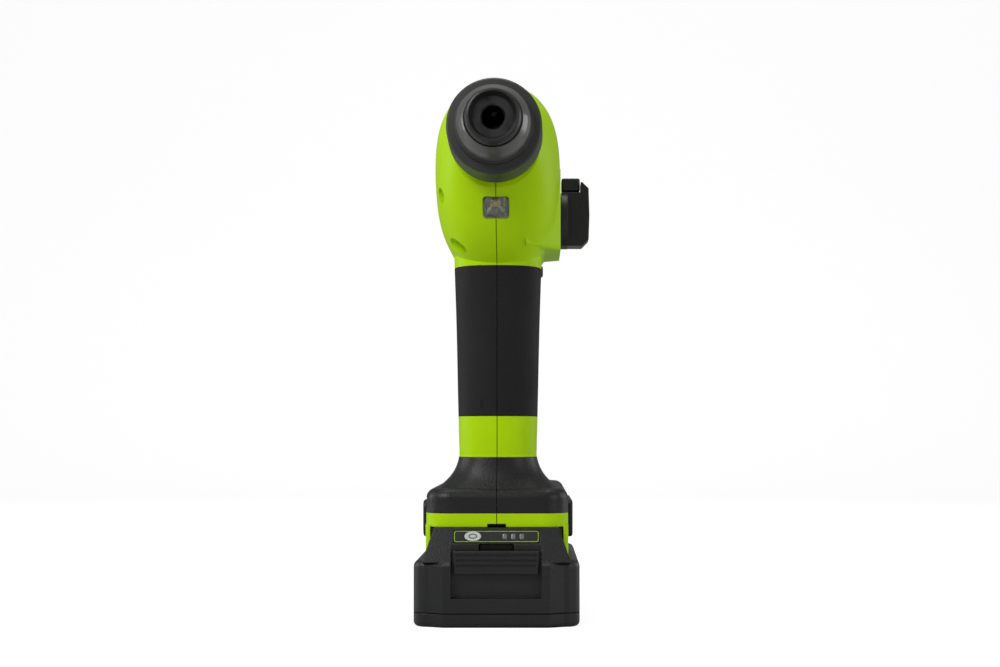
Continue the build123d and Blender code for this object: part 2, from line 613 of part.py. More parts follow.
def make_battery_base():
    block = rounded_block(battery_half_width, battery_front, battery_rear, 0, battery_base_height - 0.4, 7,
                          bottom_round=2.5)
    front = battery_nose(0, battery_base_height - 0.4, -61.6)
    block += chamfer(front.faces().sort_by(Axis.Z)[0].edges().sort_by(Axis.Y)[:3], 1.8)
    block -= rounded_block(battery_half_width - 2.4, -56.1, 55.6, 2.4, 10, 4.6)
    for x in (-35.2, 35.2):
        for y in (-51.5, 50.5):
            block += rod_z(2.35, 2, battery_base_height - 0.4, x, y)
            block -= rod_z(2.05, -1, 1.8, x, y) + rod_z(1.15, 0, 8, x, y)
    parts["battery_base"] = block
    screws = Part()
    for x in (-35.2, 35.2):
        for y in (-51.5, 50.5):
            screw = rod_z(2.0, 0.3, 1.8, x, y) + rod_z(1.0, 1.8, 15, x, y)
            screws += screw - Pos(x, y, 0.3) * Box(2.4, 0.6, 1.2)
    parts["battery_screws"] = screws


def make_battery_inside():
    cells = Part()
    for k in range(cell_count):
        y = -46.9 + cell_pitch * k
        cell = rod_x(cell_radius, -cell_length / 2, cell_length / 2, y, 12.3)
        cell = fillet(cell.edges().filter_by(GeomType.CIRCLE), 0.8)
        cells += cell
    parts["battery_cells"] = cells
    board = span(-30, 30, -34, 49, 23.6, 25.2)
    parts["battery_board"] = board
    clips = Part()
    for x in contact_places:
        for side in (-1, 1):
            low, high = sorted((x + side * 1.25, x + side * 1.85))
            clips += span(low, high, 28, 44, 27.0, 41.5)
        clips += span(x - 1.85, x + 1.85, 28, 44, 25.2, 27.0)
    parts["battery_contacts"] = clips


def make_battery_latch():
    """The finger plate on the front and the hook that it carries. Both drop when the plate is pushed down."""
    plate = span(-20.4, 20.4, -60.6, -57.4, 25.2, 36.6)
    plate = fillet(plate.faces().sort_by(Axis.Y)[0].edges(), 0.7)
    for z in (29.4, 31.9, 34.4):
        plate -= span(-19, 19, -61.2, -60.0, z - 0.55, z + 0.55)
    neck = span(-18, 18, -57.4, -50, 29.6, 34)
    web = span(-8, 8, -53, -50, 34, 39.0)
    hook = span(-5.6, 5.6, -50.5, -34.4, 36.4, 39.0) + span(-4.0, 4.0, -42.6, -34.4, 38, 48.6)
    hook -= Pos(0, -34.4, 49.4) * Rot(28, 0, 0) * Box(20, 12, 5)
    parts["battery_latch"] = plate + neck + web + hook
    springs = spring_z(2.2, 0.35, 22.8, 29.5, 4, -13, -53) + spring_z(2.2, 0.35, 22.8, 29.5, 4, 13, -53)
    parts["latch_springs"] = springs
    panel = extrude(gauge_plane * (RectangleRounded(41, 5.9, 0.9) - Pos(-11.3, 0) * Ellipse(4.2, 2.6)), -0.9)
    for x in (4.0, 8.1, 12.2):
        panel -= extrude(gauge_plane * Pos(x, 0) * Rectangle(2, 2.8), -2)
    parts["gauge_panel"] = panel
    button = extrude(gauge_plane * Pos(-11.3, 0) * Ellipse(4.0, 2.4), 0.5) + extrude(
        gauge_plane * Pos(-11.3, 0) * Ellipse(4.0, 2.4), -2.2)
    parts["gauge_button"] = button


def main():
    make_housing()
    make_vents()
    make_bumpers()
    make_housing_screws()
    make_lamp()
    make_spindle()
    make_chuck_sleeve()
    make_hammer()
    make_wobble()
    make_countershaft()
    make_shift_fork()
    make_gear_case()
    make_motor()
    make_mode_knob()
    make_trigger()
    make_electronics()
    make_battery_case()
    make_battery_base()
    make_battery_inside()
    make_battery_latch()
    os.makedirs("parts", exist_ok=True)
    for name, shape in parts.items():
        export_step(shape, f"parts/{name}.step")
    print(len(parts), "nodes")


main()
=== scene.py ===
import math

import bmesh
import bpy
from bpy.props import FloatProperty, FloatVectorProperty, PointerProperty
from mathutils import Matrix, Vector


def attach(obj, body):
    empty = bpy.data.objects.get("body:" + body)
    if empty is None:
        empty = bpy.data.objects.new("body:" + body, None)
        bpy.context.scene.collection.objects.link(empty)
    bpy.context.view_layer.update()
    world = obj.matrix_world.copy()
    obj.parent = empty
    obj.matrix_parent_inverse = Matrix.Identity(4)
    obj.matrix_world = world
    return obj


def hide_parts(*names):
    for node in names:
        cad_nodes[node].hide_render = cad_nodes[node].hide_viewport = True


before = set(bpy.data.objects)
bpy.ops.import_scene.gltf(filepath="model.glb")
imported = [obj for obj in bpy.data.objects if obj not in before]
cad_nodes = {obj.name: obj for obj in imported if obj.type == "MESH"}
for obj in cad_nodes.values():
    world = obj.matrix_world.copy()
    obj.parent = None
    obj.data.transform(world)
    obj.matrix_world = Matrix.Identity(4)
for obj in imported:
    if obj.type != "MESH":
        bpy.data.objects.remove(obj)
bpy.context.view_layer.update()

bl_info = {
    "name": "D-Handle Hammer Drill",
    "version": (1, 0, 0),
    "blender": (4, 5, 0),
    "location": "View3D > Sidebar > Hammer Drill",
    "description": "Finishes and small parts of a cordless rotary hammer drill with a D-shaped handle",
    "category": "Object",
}

# Heights of the three shafts that turn about a front-to-back axis.
spindle_height = 0.231
countershaft_height = 0.19975
motor_height = 0.21775

bell_start, bell_full = 0.1010, 0.1013      # how far forward the polished bell begins and is complete
window_corner = 0.0014                      # corner radius of the lamp's window
settled_dust = (0.42, 0.41, 0.38)

camera_place = (0.018, -0.738, 0.0918)
camera_lens, camera_film = 51.3, 36.0
camera_shift = (-0.034, 0.1015)

air_glow = 0.27                             # light from all round, and the floor's whiteness to the camera
paper_glow = 0.78
# Soft boxes: name, place, width and power in watts.
softboxes = (
    ("key_softbox", (-0.75, -0.95, 0.95), 0.55, 10.0),
    ("fill_softbox", (1.0, -0.8, 0.45), 0.7, 2.4),
    ("top_softbox", (0.0, 0.1, 1.3), 0.8, 4.8),
    ("left_strip", (-0.9, 0.15, 0.3), 0.5, 2.0),
    ("right_strip", (0.9, 0.35, 0.3), 0.5, 1.6),
)
light_target = Vector((0.0, 0.0, 0.14))

lamp_middle = Vector((0.0, -0.0643, 0.1992))
lamp_outward = Vector((0.0, -0.85, -0.527)).normalized()
gauge_middle = Vector((0.0, -0.0556, 0.0432))
gauge_outward = Vector((0.0, -0.931, 0.365)).normalized()


# ---------------------------------------------------------------- settings
def colour_setting(name, description, default):
    return FloatVectorProperty(name=name, description=description, default=default, subtype="COLOR",
                               size=3, min=0.0, max=1.0)


class HammerColours(bpy.types.PropertyGroup):
    lime: colour_setting("Lime plastic", "Colour of the moulded housing halves", (0.47, 0.78, 0.002))
    grip: colour_setting("Grip rubber", "Colour of the soft grip sleeves", (0.0085, 0.0085, 0.0090))
    foot: colour_setting("Foot rubber", "Colour of the cover over the foot", (0.0085, 0.0088, 0.0098))
    pack: colour_setting("Battery pack", "Colour of the battery's grained case", (0.0100, 0.0104, 0.0118))
    controls: colour_setting("Controls", "Colour of the knob, trigger and levers", (0.0120, 0.0120, 0.0125))
    collar: colour_setting("Collar", "Colour of the satin pull-back collar", (0.0300, 0.0305, 0.0285))
    bell: colour_setting("Bell", "Colour of the polished nose of the collar", (0.085, 0.086, 0.081))
    steel: colour_setting("Machined steel", "Colour of shafts, gears and the spindle", (0.50, 0.50, 0.51))
    cast: colour_setting("Cast case", "Colour of the gearbox casting", (0.52, 0.53, 0.54))
    gauge_key: colour_setting("Gauge key", "Colour of the oval key on the charge gauge", (0.62, 0.66, 0.62))


class HammerFinish(bpy.types.PropertyGroup):
    edge_radius: FloatProperty(name="Edge radius", description="How round the moulded edges look",
                               default=0.0005, min=0.0, max=0.003, unit="LENGTH", precision=5)
    wear: FloatProperty(name="Edge wear", description="How much the edges are rubbed", default=0.35,
                        min=0.0, max=1.0, subtype="FACTOR")
    dust: FloatProperty(name="Dust", description="How much dust lies on upward faces", default=0.12,
                        min=0.0, max=1.0, subtype="FACTOR")


class HammerSizes(bpy.types.PropertyGroup):
    lamp_width: FloatProperty(name="Lamp width", description="Width of the work lamp's window",
                              default=0.0120, min=0.006, max=0.012, unit="LENGTH", precision=4)
    lamp_height: FloatProperty(name="Lamp height", description="Height of the work lamp's window",
                               default=0.0105, min=0.006, max=0.0105, unit="LENGTH", precision=4)
    lamp_depth: FloatProperty(name="Lamp depth", description="Depth of the lamp's reflector",
                              default=0.0042, min=0.002, max=0.0045, unit="LENGTH", precision=4)
    light_windows: FloatProperty(name="Gauge light height", description="Height of the charge gauge's lights",
                                 default=0.0027, min=0.001, max=0.003, unit="LENGTH", precision=4)


# ---------------------------------------------------------------- shader node groups
def new_group(name, inputs, outputs):
    """A shader node group. Inputs are given as (name, kind, default), and outputs as (name, kind)."""
    tree = bpy.data.node_groups.new(name, "ShaderNodeTree")
    for label, kind, default in inputs:
        socket = tree.interface.new_socket(name=label, in_out="INPUT", socket_type="NodeSocket" + kind)
        socket.default_value = default
    for label, kind in outputs:
        tree.interface.new_socket(name=label, in_out="OUTPUT", socket_type="NodeSocket" + kind)
    start = tree.nodes.new("NodeGroupInput")
    end = tree.nodes.new("NodeGroupOutput")
    start.location, end.location = (-900, 0), (600, 0)
    return tree, start, end


def place(tree, kind, x, y, **values):
    node = tree.nodes.new(kind)
    node.location = (x, y)
    for key, value in values.items():
        setattr(node, key, value)
    return node


def maths(tree, operation, first, second, x=0, y=0, clamp=False):
    """A maths node whose two inputs are sockets or plain numbers."""
    node = place(tree, "ShaderNodeMath", x, y, operation=operation, use_clamp=clamp)
    for index, value in enumerate((first, second)):
        if value is None:
            continue
        if isinstance(value, bpy.types.NodeSocket):
            tree.links.new(value, node.inputs[index])
        else:
            node.inputs[index].default_value = value
    return node.outputs[0]


def noise(tree, where, scale, detail, x, y, rough=0.55):
    node = place(tree, "ShaderNodeTexNoise", x, y)
    tree.links.new(where, node.inputs["Vector"])
    if isinstance(scale, bpy.types.NodeSocket):
        tree.links.new(scale, node.inputs["Scale"])
    else:
        node.inputs["Scale"].default_value = scale
    node.inputs["Detail"].default_value = detail
    node.inputs["Roughness"].default_value = rough
    return node.outputs["Fac"]


def ramp(tree, value, low, high, x, y):
    """Maps low to 0 and high to 1, held at both ends."""
    node = place(tree, "ShaderNodeMapRange", x, y, clamp=True)
    tree.links.new(value, node.inputs["Value"])
    node.inputs["From Min"].default_value = low
    node.inputs["From Max"].default_value = high
    return node.outputs["Result"]


def build_grain_group():
    """Spark-eroded mould grain: small rounded cells over a finer haze."""
    tree, start, end = new_group("Mould Grain", [("Scale", "Float", 2200.0), ("Haze", "Float", 0.35)],
                                 [("Height", "Float"), ("Mottle", "Float")])
    where = place(tree, "ShaderNodeTexCoord", -900, 300).outputs["Object"]
    cells = place(tree, "ShaderNodeTexVoronoi", -500, 200, feature="SMOOTH_F1")
    tree.links.new(where, cells.inputs["Vector"])
    tree.links.new(start.outputs["Scale"], cells.inputs["Scale"])
    cells.inputs["Smoothness"].default_value = 0.7
    finer = maths(tree, "MULTIPLY", start.outputs["Scale"], 2.3, -700, -100)
    fine = noise(tree, where, finer, 3.0, -500, -100)
    haze = maths(tree, "MULTIPLY", fine, start.outputs["Haze"], -250, -100)
    height = maths(tree, "ADD", cells.outputs["Distance"], haze, 0, 100)
    patches = noise(tree, where, 45.0, 4.0, -500, -350)
    tree.links.new(height, end.inputs["Height"])
    tree.links.new(ramp(tree, patches, 0.3, 0.7, -250, -350), end.inputs["Mottle"])
    return tree


def build_edge_group():
    """Rounds hard edges in the shading, and masks the rubbed ones."""
    tree, start, end = new_group("Soft Edge", [("Radius", "Float", 0.0004), ("Wear", "Float", 0.3)],
                                 [("Normal", "Vector"), ("Rubbed", "Float")])
    rounded = place(tree, "ShaderNodeBevel", -600, 100, samples=4)
    tree.links.new(start.outputs["Radius"], rounded.inputs["Radius"])
    surface = place(tree, "ShaderNodeNewGeometry", -600, -100)
    likeness = place(tree, "ShaderNodeVectorMath", -400, 0, operation="DOT_PRODUCT")
    tree.links.new(rounded.outputs["Normal"], likeness.inputs[0])
    tree.links.new(surface.outputs["Normal"], likeness.inputs[1])
    edge = maths(tree, "SUBTRACT", 1.0, likeness.outputs["Value"], -200, 0)
    edge = ramp(tree, edge, 0.01, 0.22, 0, 0)
    where = place(tree, "ShaderNodeTexCoord", -900, -300).outputs["Object"]
    broken = ramp(tree, noise(tree, where, 260.0, 5.0, -600, -350), 0.42, 0.62, -300, -350)
    rubbed = maths(tree, "MULTIPLY", edge, broken, 200, -100)
    rubbed = maths(tree, "MULTIPLY", rubbed, start.outputs["Wear"], 350, -100)
    tree.links.new(rounded.outputs["Normal"], end.inputs["Normal"])
    tree.links.new(rubbed, end.inputs["Rubbed"])
    return tree


def build_handling_group():
    """Finger smears, fine scuffs and settled dust."""
    tree, start, end = new_group("Handling", [("Dust", "Float", 0.1)],
                                 [("Smear", "Float"), ("Scuff", "Float"), ("Dust", "Float")])
    where = place(tree, "ShaderNodeTexCoord", -900, 100).outputs["Object"]
    smear = ramp(tree, noise(tree, where, 28.0, 6.0, -600, 200), 0.35, 0.7, -350, 200)
    stretch = place(tree, "ShaderNodeMapping", -750, -50)
    stretch.inputs["Rotation"].default_value = (0.4, 0.7, 0.2)
    stretch.inputs["Scale"].default_value = (60.0, 900.0, 60.0)
    tree.links.new(where, stretch.inputs["Vector"])
    scuff = ramp(tree, noise(tree, stretch.outputs["Vector"], 1.0, 2.0, -550, -50), 0.68, 0.74, -350, -50)
    facing = place(tree, "ShaderNodeSeparateXYZ", -600, -300)
    surface = place(tree, "ShaderNodeNewGeometry", -800, -300)
    tree.links.new(surface.outputs["Normal"], facing.inputs["Vector"])
    upward = ramp(tree, facing.outputs["Z"], 0.2, 1.0, -400, -300)
    specks = ramp(tree, noise(tree, where, 1400.0, 3.0, -600, -500), 0.5, 0.75, -350, -500)
    dust = maths(tree, "MULTIPLY", upward, specks, -150, -350)
    dust = maths(tree, "MULTIPLY", dust, start.outputs["Dust"], 50, -350)
    tree.links.new(smear, end.inputs["Smear"])
    tree.links.new(scuff, end.inputs["Scuff"])
    tree.links.new(dust, end.inputs["Dust"])
    return tree


def build_turning_group():
    """Fine lathe rings about a front-to-back axis at a given height, with an oily film."""
    tree, start, end = new_group("Lathe Rings",
                                 [("Axis Height", "Float", spindle_height), ("Pitch", "Float", 5200.0)],
                                 [("Height", "Float"), ("Film", "Float")])
    where = place(tree, "ShaderNodeTexCoord", -900, 100).outputs["Object"]
    parts = place(tree, "ShaderNodeSeparateXYZ", -700, 100)
    tree.links.new(where, parts.inputs["Vector"])
    rise = maths(tree, "SUBTRACT", parts.outputs["Z"], start.outputs["Axis Height"], -500, 0)
    rise_squared = maths(tree, "MULTIPLY", rise, rise, -350, 0)
    side_squared = maths(tree, "MULTIPLY", parts.outputs["X"], parts.outputs["X"], -350, 150)
    reach = maths(tree, "SQRT", maths(tree, "ADD", rise_squared, side_squared, -200, 50), None, -50, 50)
    along = maths(tree, "ADD", reach, parts.outputs["Y"], 50, 100)
    rings = noise(tree, where, 2.0, 1.0, -300, -300)
    wavy = maths(tree, "MULTIPLY", rings, 0.002, -100, -300)
    phase = maths(tree, "MULTIPLY", maths(tree, "ADD", along, wavy, 150, 0), start.outputs["Pitch"], 250, 0)
    tree.links.new(maths(tree, "SINE", phase, None, 400, 0), end.inputs["Height"])
    oil = noise(tree, where, 120.0, 5.0, -300, -500)
    tree.links.new(ramp(tree, oil, 0.4, 0.7, 0, -500), end.inputs["Film"])
    return tree


group_builders = {
    "Mould Grain": build_grain_group,
    "Soft Edge": build_edge_group,
    "Handling": build_handling_group,
    "Lathe Rings": build_turning_group,
}


def effect(material, name, x, y, **values):
    """Places a shared effect in a material, with its own values."""
    tree = bpy.data.node_groups.get(name) or group_builders[name]()
    node = material.node_tree.nodes.new("ShaderNodeGroup")
    node.node_tree = tree
    node.location = (x, y)
    for label, value in values.items():
        node.inputs[label.replace("_", " ")].default_value = value
    return node


# ---------------------------------------------------------------- materials
def start_material(name, roughness=0.5, metallic=0.0):
    material = bpy.data.materials.new(name)
    material.use_nodes = True
    shader = material.node_tree.nodes["Principled BSDF"]
    shader.inputs["Roughness"].default_value = roughness
    shader.inputs["Metallic"].default_value = metallic
    return material, material.node_tree, shader


def mix_colour(tree, factor, first, second, x, y):
    """Blends two colours, each a socket or a plain colour, by a factor socket."""
    node = place(tree, "ShaderNodeMix", x, y, data_type="RGBA")
    tree.links.new(factor, node.inputs["Factor"])
    for index, value in ((6, first), (7, second)):
        if isinstance(value, bpy.types.NodeSocket):
            tree.links.new(value, node.inputs[index])
        else:
            node.inputs[index].default_value = (*value, 1.0)
    return node.outputs[2]


def blend_values(tree, factor, low, high, x, y):
    node = place(tree, "ShaderNodeMapRange", x, y, clamp=True)
    tree.links.new(factor, node.inputs["Value"])
    for label, value in (("To Min", low), ("To Max", high)):
        if isinstance(value, bpy.types.NodeSocket):
            tree.links.new(value, node.inputs[label])
        else:
            node.inputs[label].default_value = value
    return node.outputs["Result"]


def brighter(colour, factor, lift=0.0):
    return tuple(min(1.0, channel * factor + lift) for channel in colour)


def moulded(name, colour, roughness, grain_scale, grain_depth, variation=0.12, coat=0.0, worn=0.35,
            edge_scale=1.0, shine=0.5):
    """A moulded plastic or rubber with mould grain, rubbed edges, smears, scuffs and dust."""
    finish = bpy.context.scene.hammer_finish
    material, tree, shader = start_material(name, roughness)
    shader.inputs["Specular IOR Level"].default_value = shine
    grain = effect(material, "Mould Grain", -900, -300, Scale=grain_scale)
    edge = effect(material, "Soft Edge", -900, 0, Radius=finish.edge_radius * edge_scale,
                  Wear=finish.wear * worn)
    used = effect(material, "Handling", -900, 300, Dust=finish.dust)
    base = mix_colour(tree, grain.outputs["Mottle"], brighter(colour, 1.0 - variation), colour, -600, 200)
    base = mix_colour(tree, edge.outputs["Rubbed"], base, brighter(colour, 1.5, 0.05), -450, 200)
    base = mix_colour(tree, used.outputs["Dust"], base, settled_dust, -300, 200)
    tree.links.new(base, shader.inputs["Base Color"])
    rough = blend_values(tree, used.outputs["Smear"], roughness - 0.05, roughness + 0.07, -600, -50)
    rough = blend_values(tree, used.outputs["Scuff"], rough, roughness + 0.16, -400, -50)
    tree.links.new(rough, shader.inputs["Roughness"])
    bump = place(tree, "ShaderNodeBump", -300, -300)
    bump.inputs["Strength"].default_value = 1.0
    bump.inputs["Distance"].default_value = grain_depth
    tree.links.new(grain.outputs["Height"], bump.inputs["Height"])
    tree.links.new(edge.outputs["Normal"], bump.inputs["Normal"])
    tree.links.new(bump.outputs["Normal"], shader.inputs["Normal"])
    if coat:
        shader.inputs["Coat Weight"].default_value = coat
        shader.inputs["Coat Roughness"].default_value = 0.12
    return material


def metal(name, colour, roughness, axis_height=spindle_height, ring_depth=0.000004, dark=0.55):
    """Turned or ground metal with lathe rings, an oily film and rubbed edges."""
    finish = bpy.context.scene.hammer_finish
    material, tree, shader = start_material(name, roughness, metallic=1.0)
    rings = effect(material, "Lathe Rings", -900, -300, Axis_Height=axis_height)
    edge = effect(material, "Soft Edge", -900, 0, Radius=finish.edge_radius * 0.5, Wear=finish.wear)
    base = mix_colour(tree, rings.outputs["Film"], colour, brighter(colour, dark), -600, 200)
    base = mix_colour(tree, edge.outputs["Rubbed"], base, brighter(colour, 1.25), -400, 200)
    tree.links.new(base, shader.inputs["Base Color"])
    tree.links.new(blend_values(tree, rings.outputs["Film"], roughness, roughness + 0.15, -400, -50),
                   shader.inputs["Roughness"])
    bump = place(tree, "ShaderNodeBump", -300, -300)
    bump.inputs["Strength"].default_value = 0.6
    bump.inputs["Distance"].default_value = ring_depth
    tree.links.new(rings.outputs["Height"], bump.inputs["Height"])
    tree.links.new(edge.outputs["Normal"], bump.inputs["Normal"])
    tree.links.new(bump.outputs["Normal"], shader.inputs["Normal"])
    return material


def give(material, *names):
    """Gives CAD nodes a material."""
    for name in names:
        mesh = cad_nodes[name].data
        mesh.materials.clear()
        mesh.materials.append(material)


# ---------------------------------------------------------------- mesh helpers
def finish_piece(name, build, material, body):
    """Makes an object from a bmesh that build fills in, gives it a material and rides it on a CAD body."""
    mesh = bpy.data.meshes.new(name)
    form = bmesh.new()
    build(form)
    bmesh.ops.recalc_face_normals(form, faces=form.faces)
    form.to_mesh(mesh)
    form.free()
    mesh.materials.append(material)
    piece = bpy.data.objects.new(name, mesh)
    bpy.context.scene.collection.objects.link(piece)
    mesh.shade_smooth()
    mesh.set_sharp_from_angle(angle=math.radians(35))
    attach(piece, body)
    return piece


def plane_axes(outward):
    """Sideways and upward directions on a plane that faces outward and forward."""
    side = Vector((1.0, 0.0, 0.0))
    return side, outward.cross(side).normalized()


def rounded_ring(width, height, corner, steps=6):
    """Points of a rounded rectangle about the origin, anticlockwise."""
    points = []
    for turn, (cx, cy) in enumerate(((1, 1), (-1, 1), (-1, -1), (1, -1))):
        for k in range(steps + 1):
            a = math.radians(90 * turn + 90 * k / steps)
            points.append((cx * (width / 2 - corner) + corner * math.cos(a),
                           cy * (height / 2 - corner) + corner * math.sin(a)))
    return points


def stacked(form, rings, close_first=False, close_last=False):
    """Skins a list of rings with equal point counts."""
    loops = [[form.verts.new(point) for point in ring] for ring in rings]
    for low, high in zip(loops, loops[1:]):
        for k in range(len(low)):
            after = (k + 1) % len(low)
            form.faces.new((low[k], low[after], high[after], high[k]))
    if close_first:
        form.faces.new(loops[0])
    if close_last:
        form.faces.new(list(reversed(loops[-1])))


def on_plane(middle, outward, points, depth=0.0):
    side, up = plane_axes(outward)
    return [middle + side * x + up * y - outward * depth for x, y in points]


# ---------------------------------------------------------------- pieces
class HAMMER_OT_housing(bpy.types.Operator):
    """Give the moulded housing halves their lime plastic and the vents their black inserts"""
    bl_idname = "hammer.housing"
    bl_label = "Housing"

    def execute(self, context):
        colours = context.scene.hammer_colours
        lime = moulded("Lime Plastic", colours.lime, 0.38, 2600.0, 0.000012, variation=0.05, worn=0.15,
                       shine=0.10)
        give(lime, "housing_right", "housing_left")
        vents = moulded("Vent Plastic", colours.controls, 0.50, 2200.0, 0.00002)
        give(vents, "vent_grilles")
        dark = metal("Blackened Screw", (0.10, 0.10, 0.105), 0.38)
        give(dark, "housing_screws", "battery_screws")
        return {"FINISHED"}


class HAMMER_OT_rubber(bpy.types.Operator):
    """Give the grips, the foot cover and the side bumpers their rubbers"""
    bl_idname = "hammer.rubber"
    bl_label = "Rubber Covers"

    def execute(self, context):
        colours = context.scene.hammer_colours
        grip = moulded("Grip Rubber", colours.grip, 0.66, 1500.0, 0.00005, variation=0.25, shine=0.28)
        give(grip, "front_grip_right", "front_grip_left", "rear_grip_right", "rear_grip_left")
        foot = moulded("Foot Rubber", colours.foot, 0.40, 1050.0, 0.00009, variation=0.2, edge_scale=1.6,
                       shine=0.40)
        give(foot, "foot_cover_right", "foot_cover_left", "side_bumpers")
        return {"FINISHED"}


class HAMMER_OT_chuck(bpy.types.Operator):
    """Finish the quick-change chuck: satin collar, polished bell, rubber cap and greasy steel"""
    bl_idname = "hammer.chuck"
    bl_label = "Chuck"

    def execute(self, context):
        colours = context.scene.hammer_colours
        collar = moulded("Collar And Bell", colours.collar, 0.46, 1700.0, 0.00003, variation=0.15)
        tree = collar.node_tree
        shader = tree.nodes["Principled BSDF"]
        place_of = place(tree, "ShaderNodeTexCoord", -1200, 600)
        parts = place(tree, "ShaderNodeSeparateXYZ", -1000, 600)
        tree.links.new(place_of.outputs["Object"], parts.inputs["Vector"])
        forward = maths(tree, "MULTIPLY", parts.outputs["Y"], -1.0, -850, 600)
        bell = ramp(tree, forward, bell_start, bell_full, -700, 600)
        old_base = shader.inputs["Base Color"].links[0].from_socket
        old_rough = shader.inputs["Roughness"].links[0].from_socket
        tree.links.new(mix_colour(tree, bell, old_base, colours.bell, -100, 500), shader.inputs["Base Color"])
        tree.links.new(blend_values(tree, bell, old_rough, 0.30, -100, 300), shader.inputs["Roughness"])
        tree.links.new(blend_values(tree, bell, 0.0, 0.35, -100, 700), shader.inputs["Coat Weight"])
        give(collar, "chuck_sleeve")
        give(moulded("Cap Rubber", (0.012, 0.012, 0.012), 0.42, 1800.0, 0.00002, edge_scale=1.4), "dust_cap")
        greasy = metal("Greased Steel", (0.085, 0.085, 0.088), 0.33, dark=0.35)
        give(greasy, "spindle", "locking_ring", "impact_bolt")
        give(metal("Ground Steel", (0.36, 0.36, 0.37), 0.28), "striker", "piston_pin")
        give(metal("Ball Steel", (0.7, 0.7, 0.71), 0.12), "locking_ball_left", "locking_ball_right")
        give(metal("Spring Wire", (0.32, 0.32, 0.33), 0.35), "chuck_spring", "latch_springs")
        return {"FINISHED"}


class HAMMER_OT_lamp(bpy.types.Operator):
    """Build the work lamp: a clear window, a bright reflector dish and the diode"""
    bl_idname = "hammer.lamp"
    bl_label = "Work Lamp"

    def execute(self, context):
        sizes = context.scene.hammer_sizes
        wide, high = sizes.lamp_width - 0.0002, sizes.lamp_height - 0.0002

        def window(form):
            rings = []
            for inset, depth in ((0.0, 0.0), (0.0, -0.00025), (0.0003, -0.0004)):
                outline = rounded_ring(wide - inset * 2, high - inset * 2, window_corner)
                rings.append(on_plane(lamp_middle, lamp_outward, outline, depth))
            back = on_plane(lamp_middle, lamp_outward, rounded_ring(wide, high, window_corner), 0.0006)
            stacked(form, [back] + rings, close_first=True, close_last=True)

        def dish(form):
            rings = []
            for k in range(13):
                share = k / 12
                shrink = 1.0 - 0.62 * share ** 1.6
                corner = 0.0012 + 0.0008 * share
                outline = rounded_ring((wide - 0.0006) * shrink, (high - 0.0006) * shrink, corner * shrink)
                rings.append(on_plane(lamp_middle, lamp_outward, outline, 0.0009 + sizes.lamp_depth * share))
            outer = on_plane(lamp_middle, lamp_outward, rounded_ring(wide, high, window_corner), 0.0009)
            wall = on_plane(lamp_middle, lamp_outward, rounded_ring(wide, high, window_corner), 0.0046)
            stacked(form, [wall, outer] + rings, close_last=True)

        def diode(form):
            deep = 0.0009 + sizes.lamp_depth - 0.0001
            rings = []
            for size, depth in ((0.0030, deep), (0.0030, deep - 0.0005), (0.0026, deep - 0.0007)):
                rings.append(on_plane(lamp_middle, lamp_outward, rounded_ring(size, size, 0.0004), depth))
            stacked(form, rings, close_last=True)

        clear, tree, shader = start_material("Lamp Window", 0.04)
        shader.inputs["Transmission Weight"].default_value = 1.0
        shader.inputs["IOR"].default_value = 1.49
        where = place(tree, "ShaderNodeTexCoord", -900, 0).outputs["Object"]
        ripple = noise(tree, where, 500.0, 2.0, -700, 0)
        bump = place(tree, "ShaderNodeBump", -300, -200)
        bump.inputs["Distance"].default_value = 0.00001
        tree.links.new(ripple, bump.inputs["Height"])
        tree.links.new(bump.outputs["Normal"], shader.inputs["Normal"])
        tint = mix_colour(tree, ripple, (0.90, 0.93, 0.88), (0.97, 0.98, 0.96), -400, 200)
        tree.links.new(tint, shader.inputs["Base Color"])

        bright, tree, shader = start_material("Reflector", 0.16, metallic=1.0)
        where = place(tree, "ShaderNodeTexCoord", -900, 0).outputs["Object"]
        orange_peel = noise(tree, where, 900.0, 2.0, -700, 0)
        facets = place(tree, "ShaderNodeTexVoronoi", -700, -250)
        facets.inputs["Scale"].default_value = 900.0
        tree.links.new(where, facets.inputs["Vector"])
        bump = place(tree, "ShaderNodeBump", -300, -200)
        bump.inputs["Distance"].default_value = 0.00025
        tree.links.new(facets.outputs["Distance"], bump.inputs["Height"])
        tree.links.new(bump.outputs["Normal"], shader.inputs["Normal"])
        tree.links.new(mix_colour(tree, orange_peel, (0.34, 0.37, 0.31), (0.50, 0.53, 0.46), -400, 200),
                       shader.inputs["Base Color"])

        phosphor = moulded("Diode Phosphor", (0.75, 0.62, 0.16), 0.35, 4000.0, 0.00001)
        cover = finish_piece("lamp_window", window, clear, "housing")
        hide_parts("lamp_lens")
        finish_piece("lamp_reflector", dish, bright, "housing")
        finish_piece("lamp_diode", diode, phosphor, "housing")
        return {"FINISHED"}


class HAMMER_OT_controls(bpy.types.Operator):
    """Finish the mode knob, its button, the trigger and the direction lever"""
    bl_idname = "hammer.controls"
    bl_label = "Controls"

    def execute(self, context):
        colours = context.scene.hammer_colours
        knob = moulded("Knob Plastic", colours.controls, 0.36, 1500.0, 0.00003, variation=0.15,
                       edge_scale=1.6)
        give(knob, "mode_knob", "knob_button", "direction_lever")
        trigger = moulded("Trigger Plastic", brighter(colours.controls, 1.2), 0.42, 1600.0, 0.00003)
        give(trigger, "trigger")
        return {"FINISHED"}


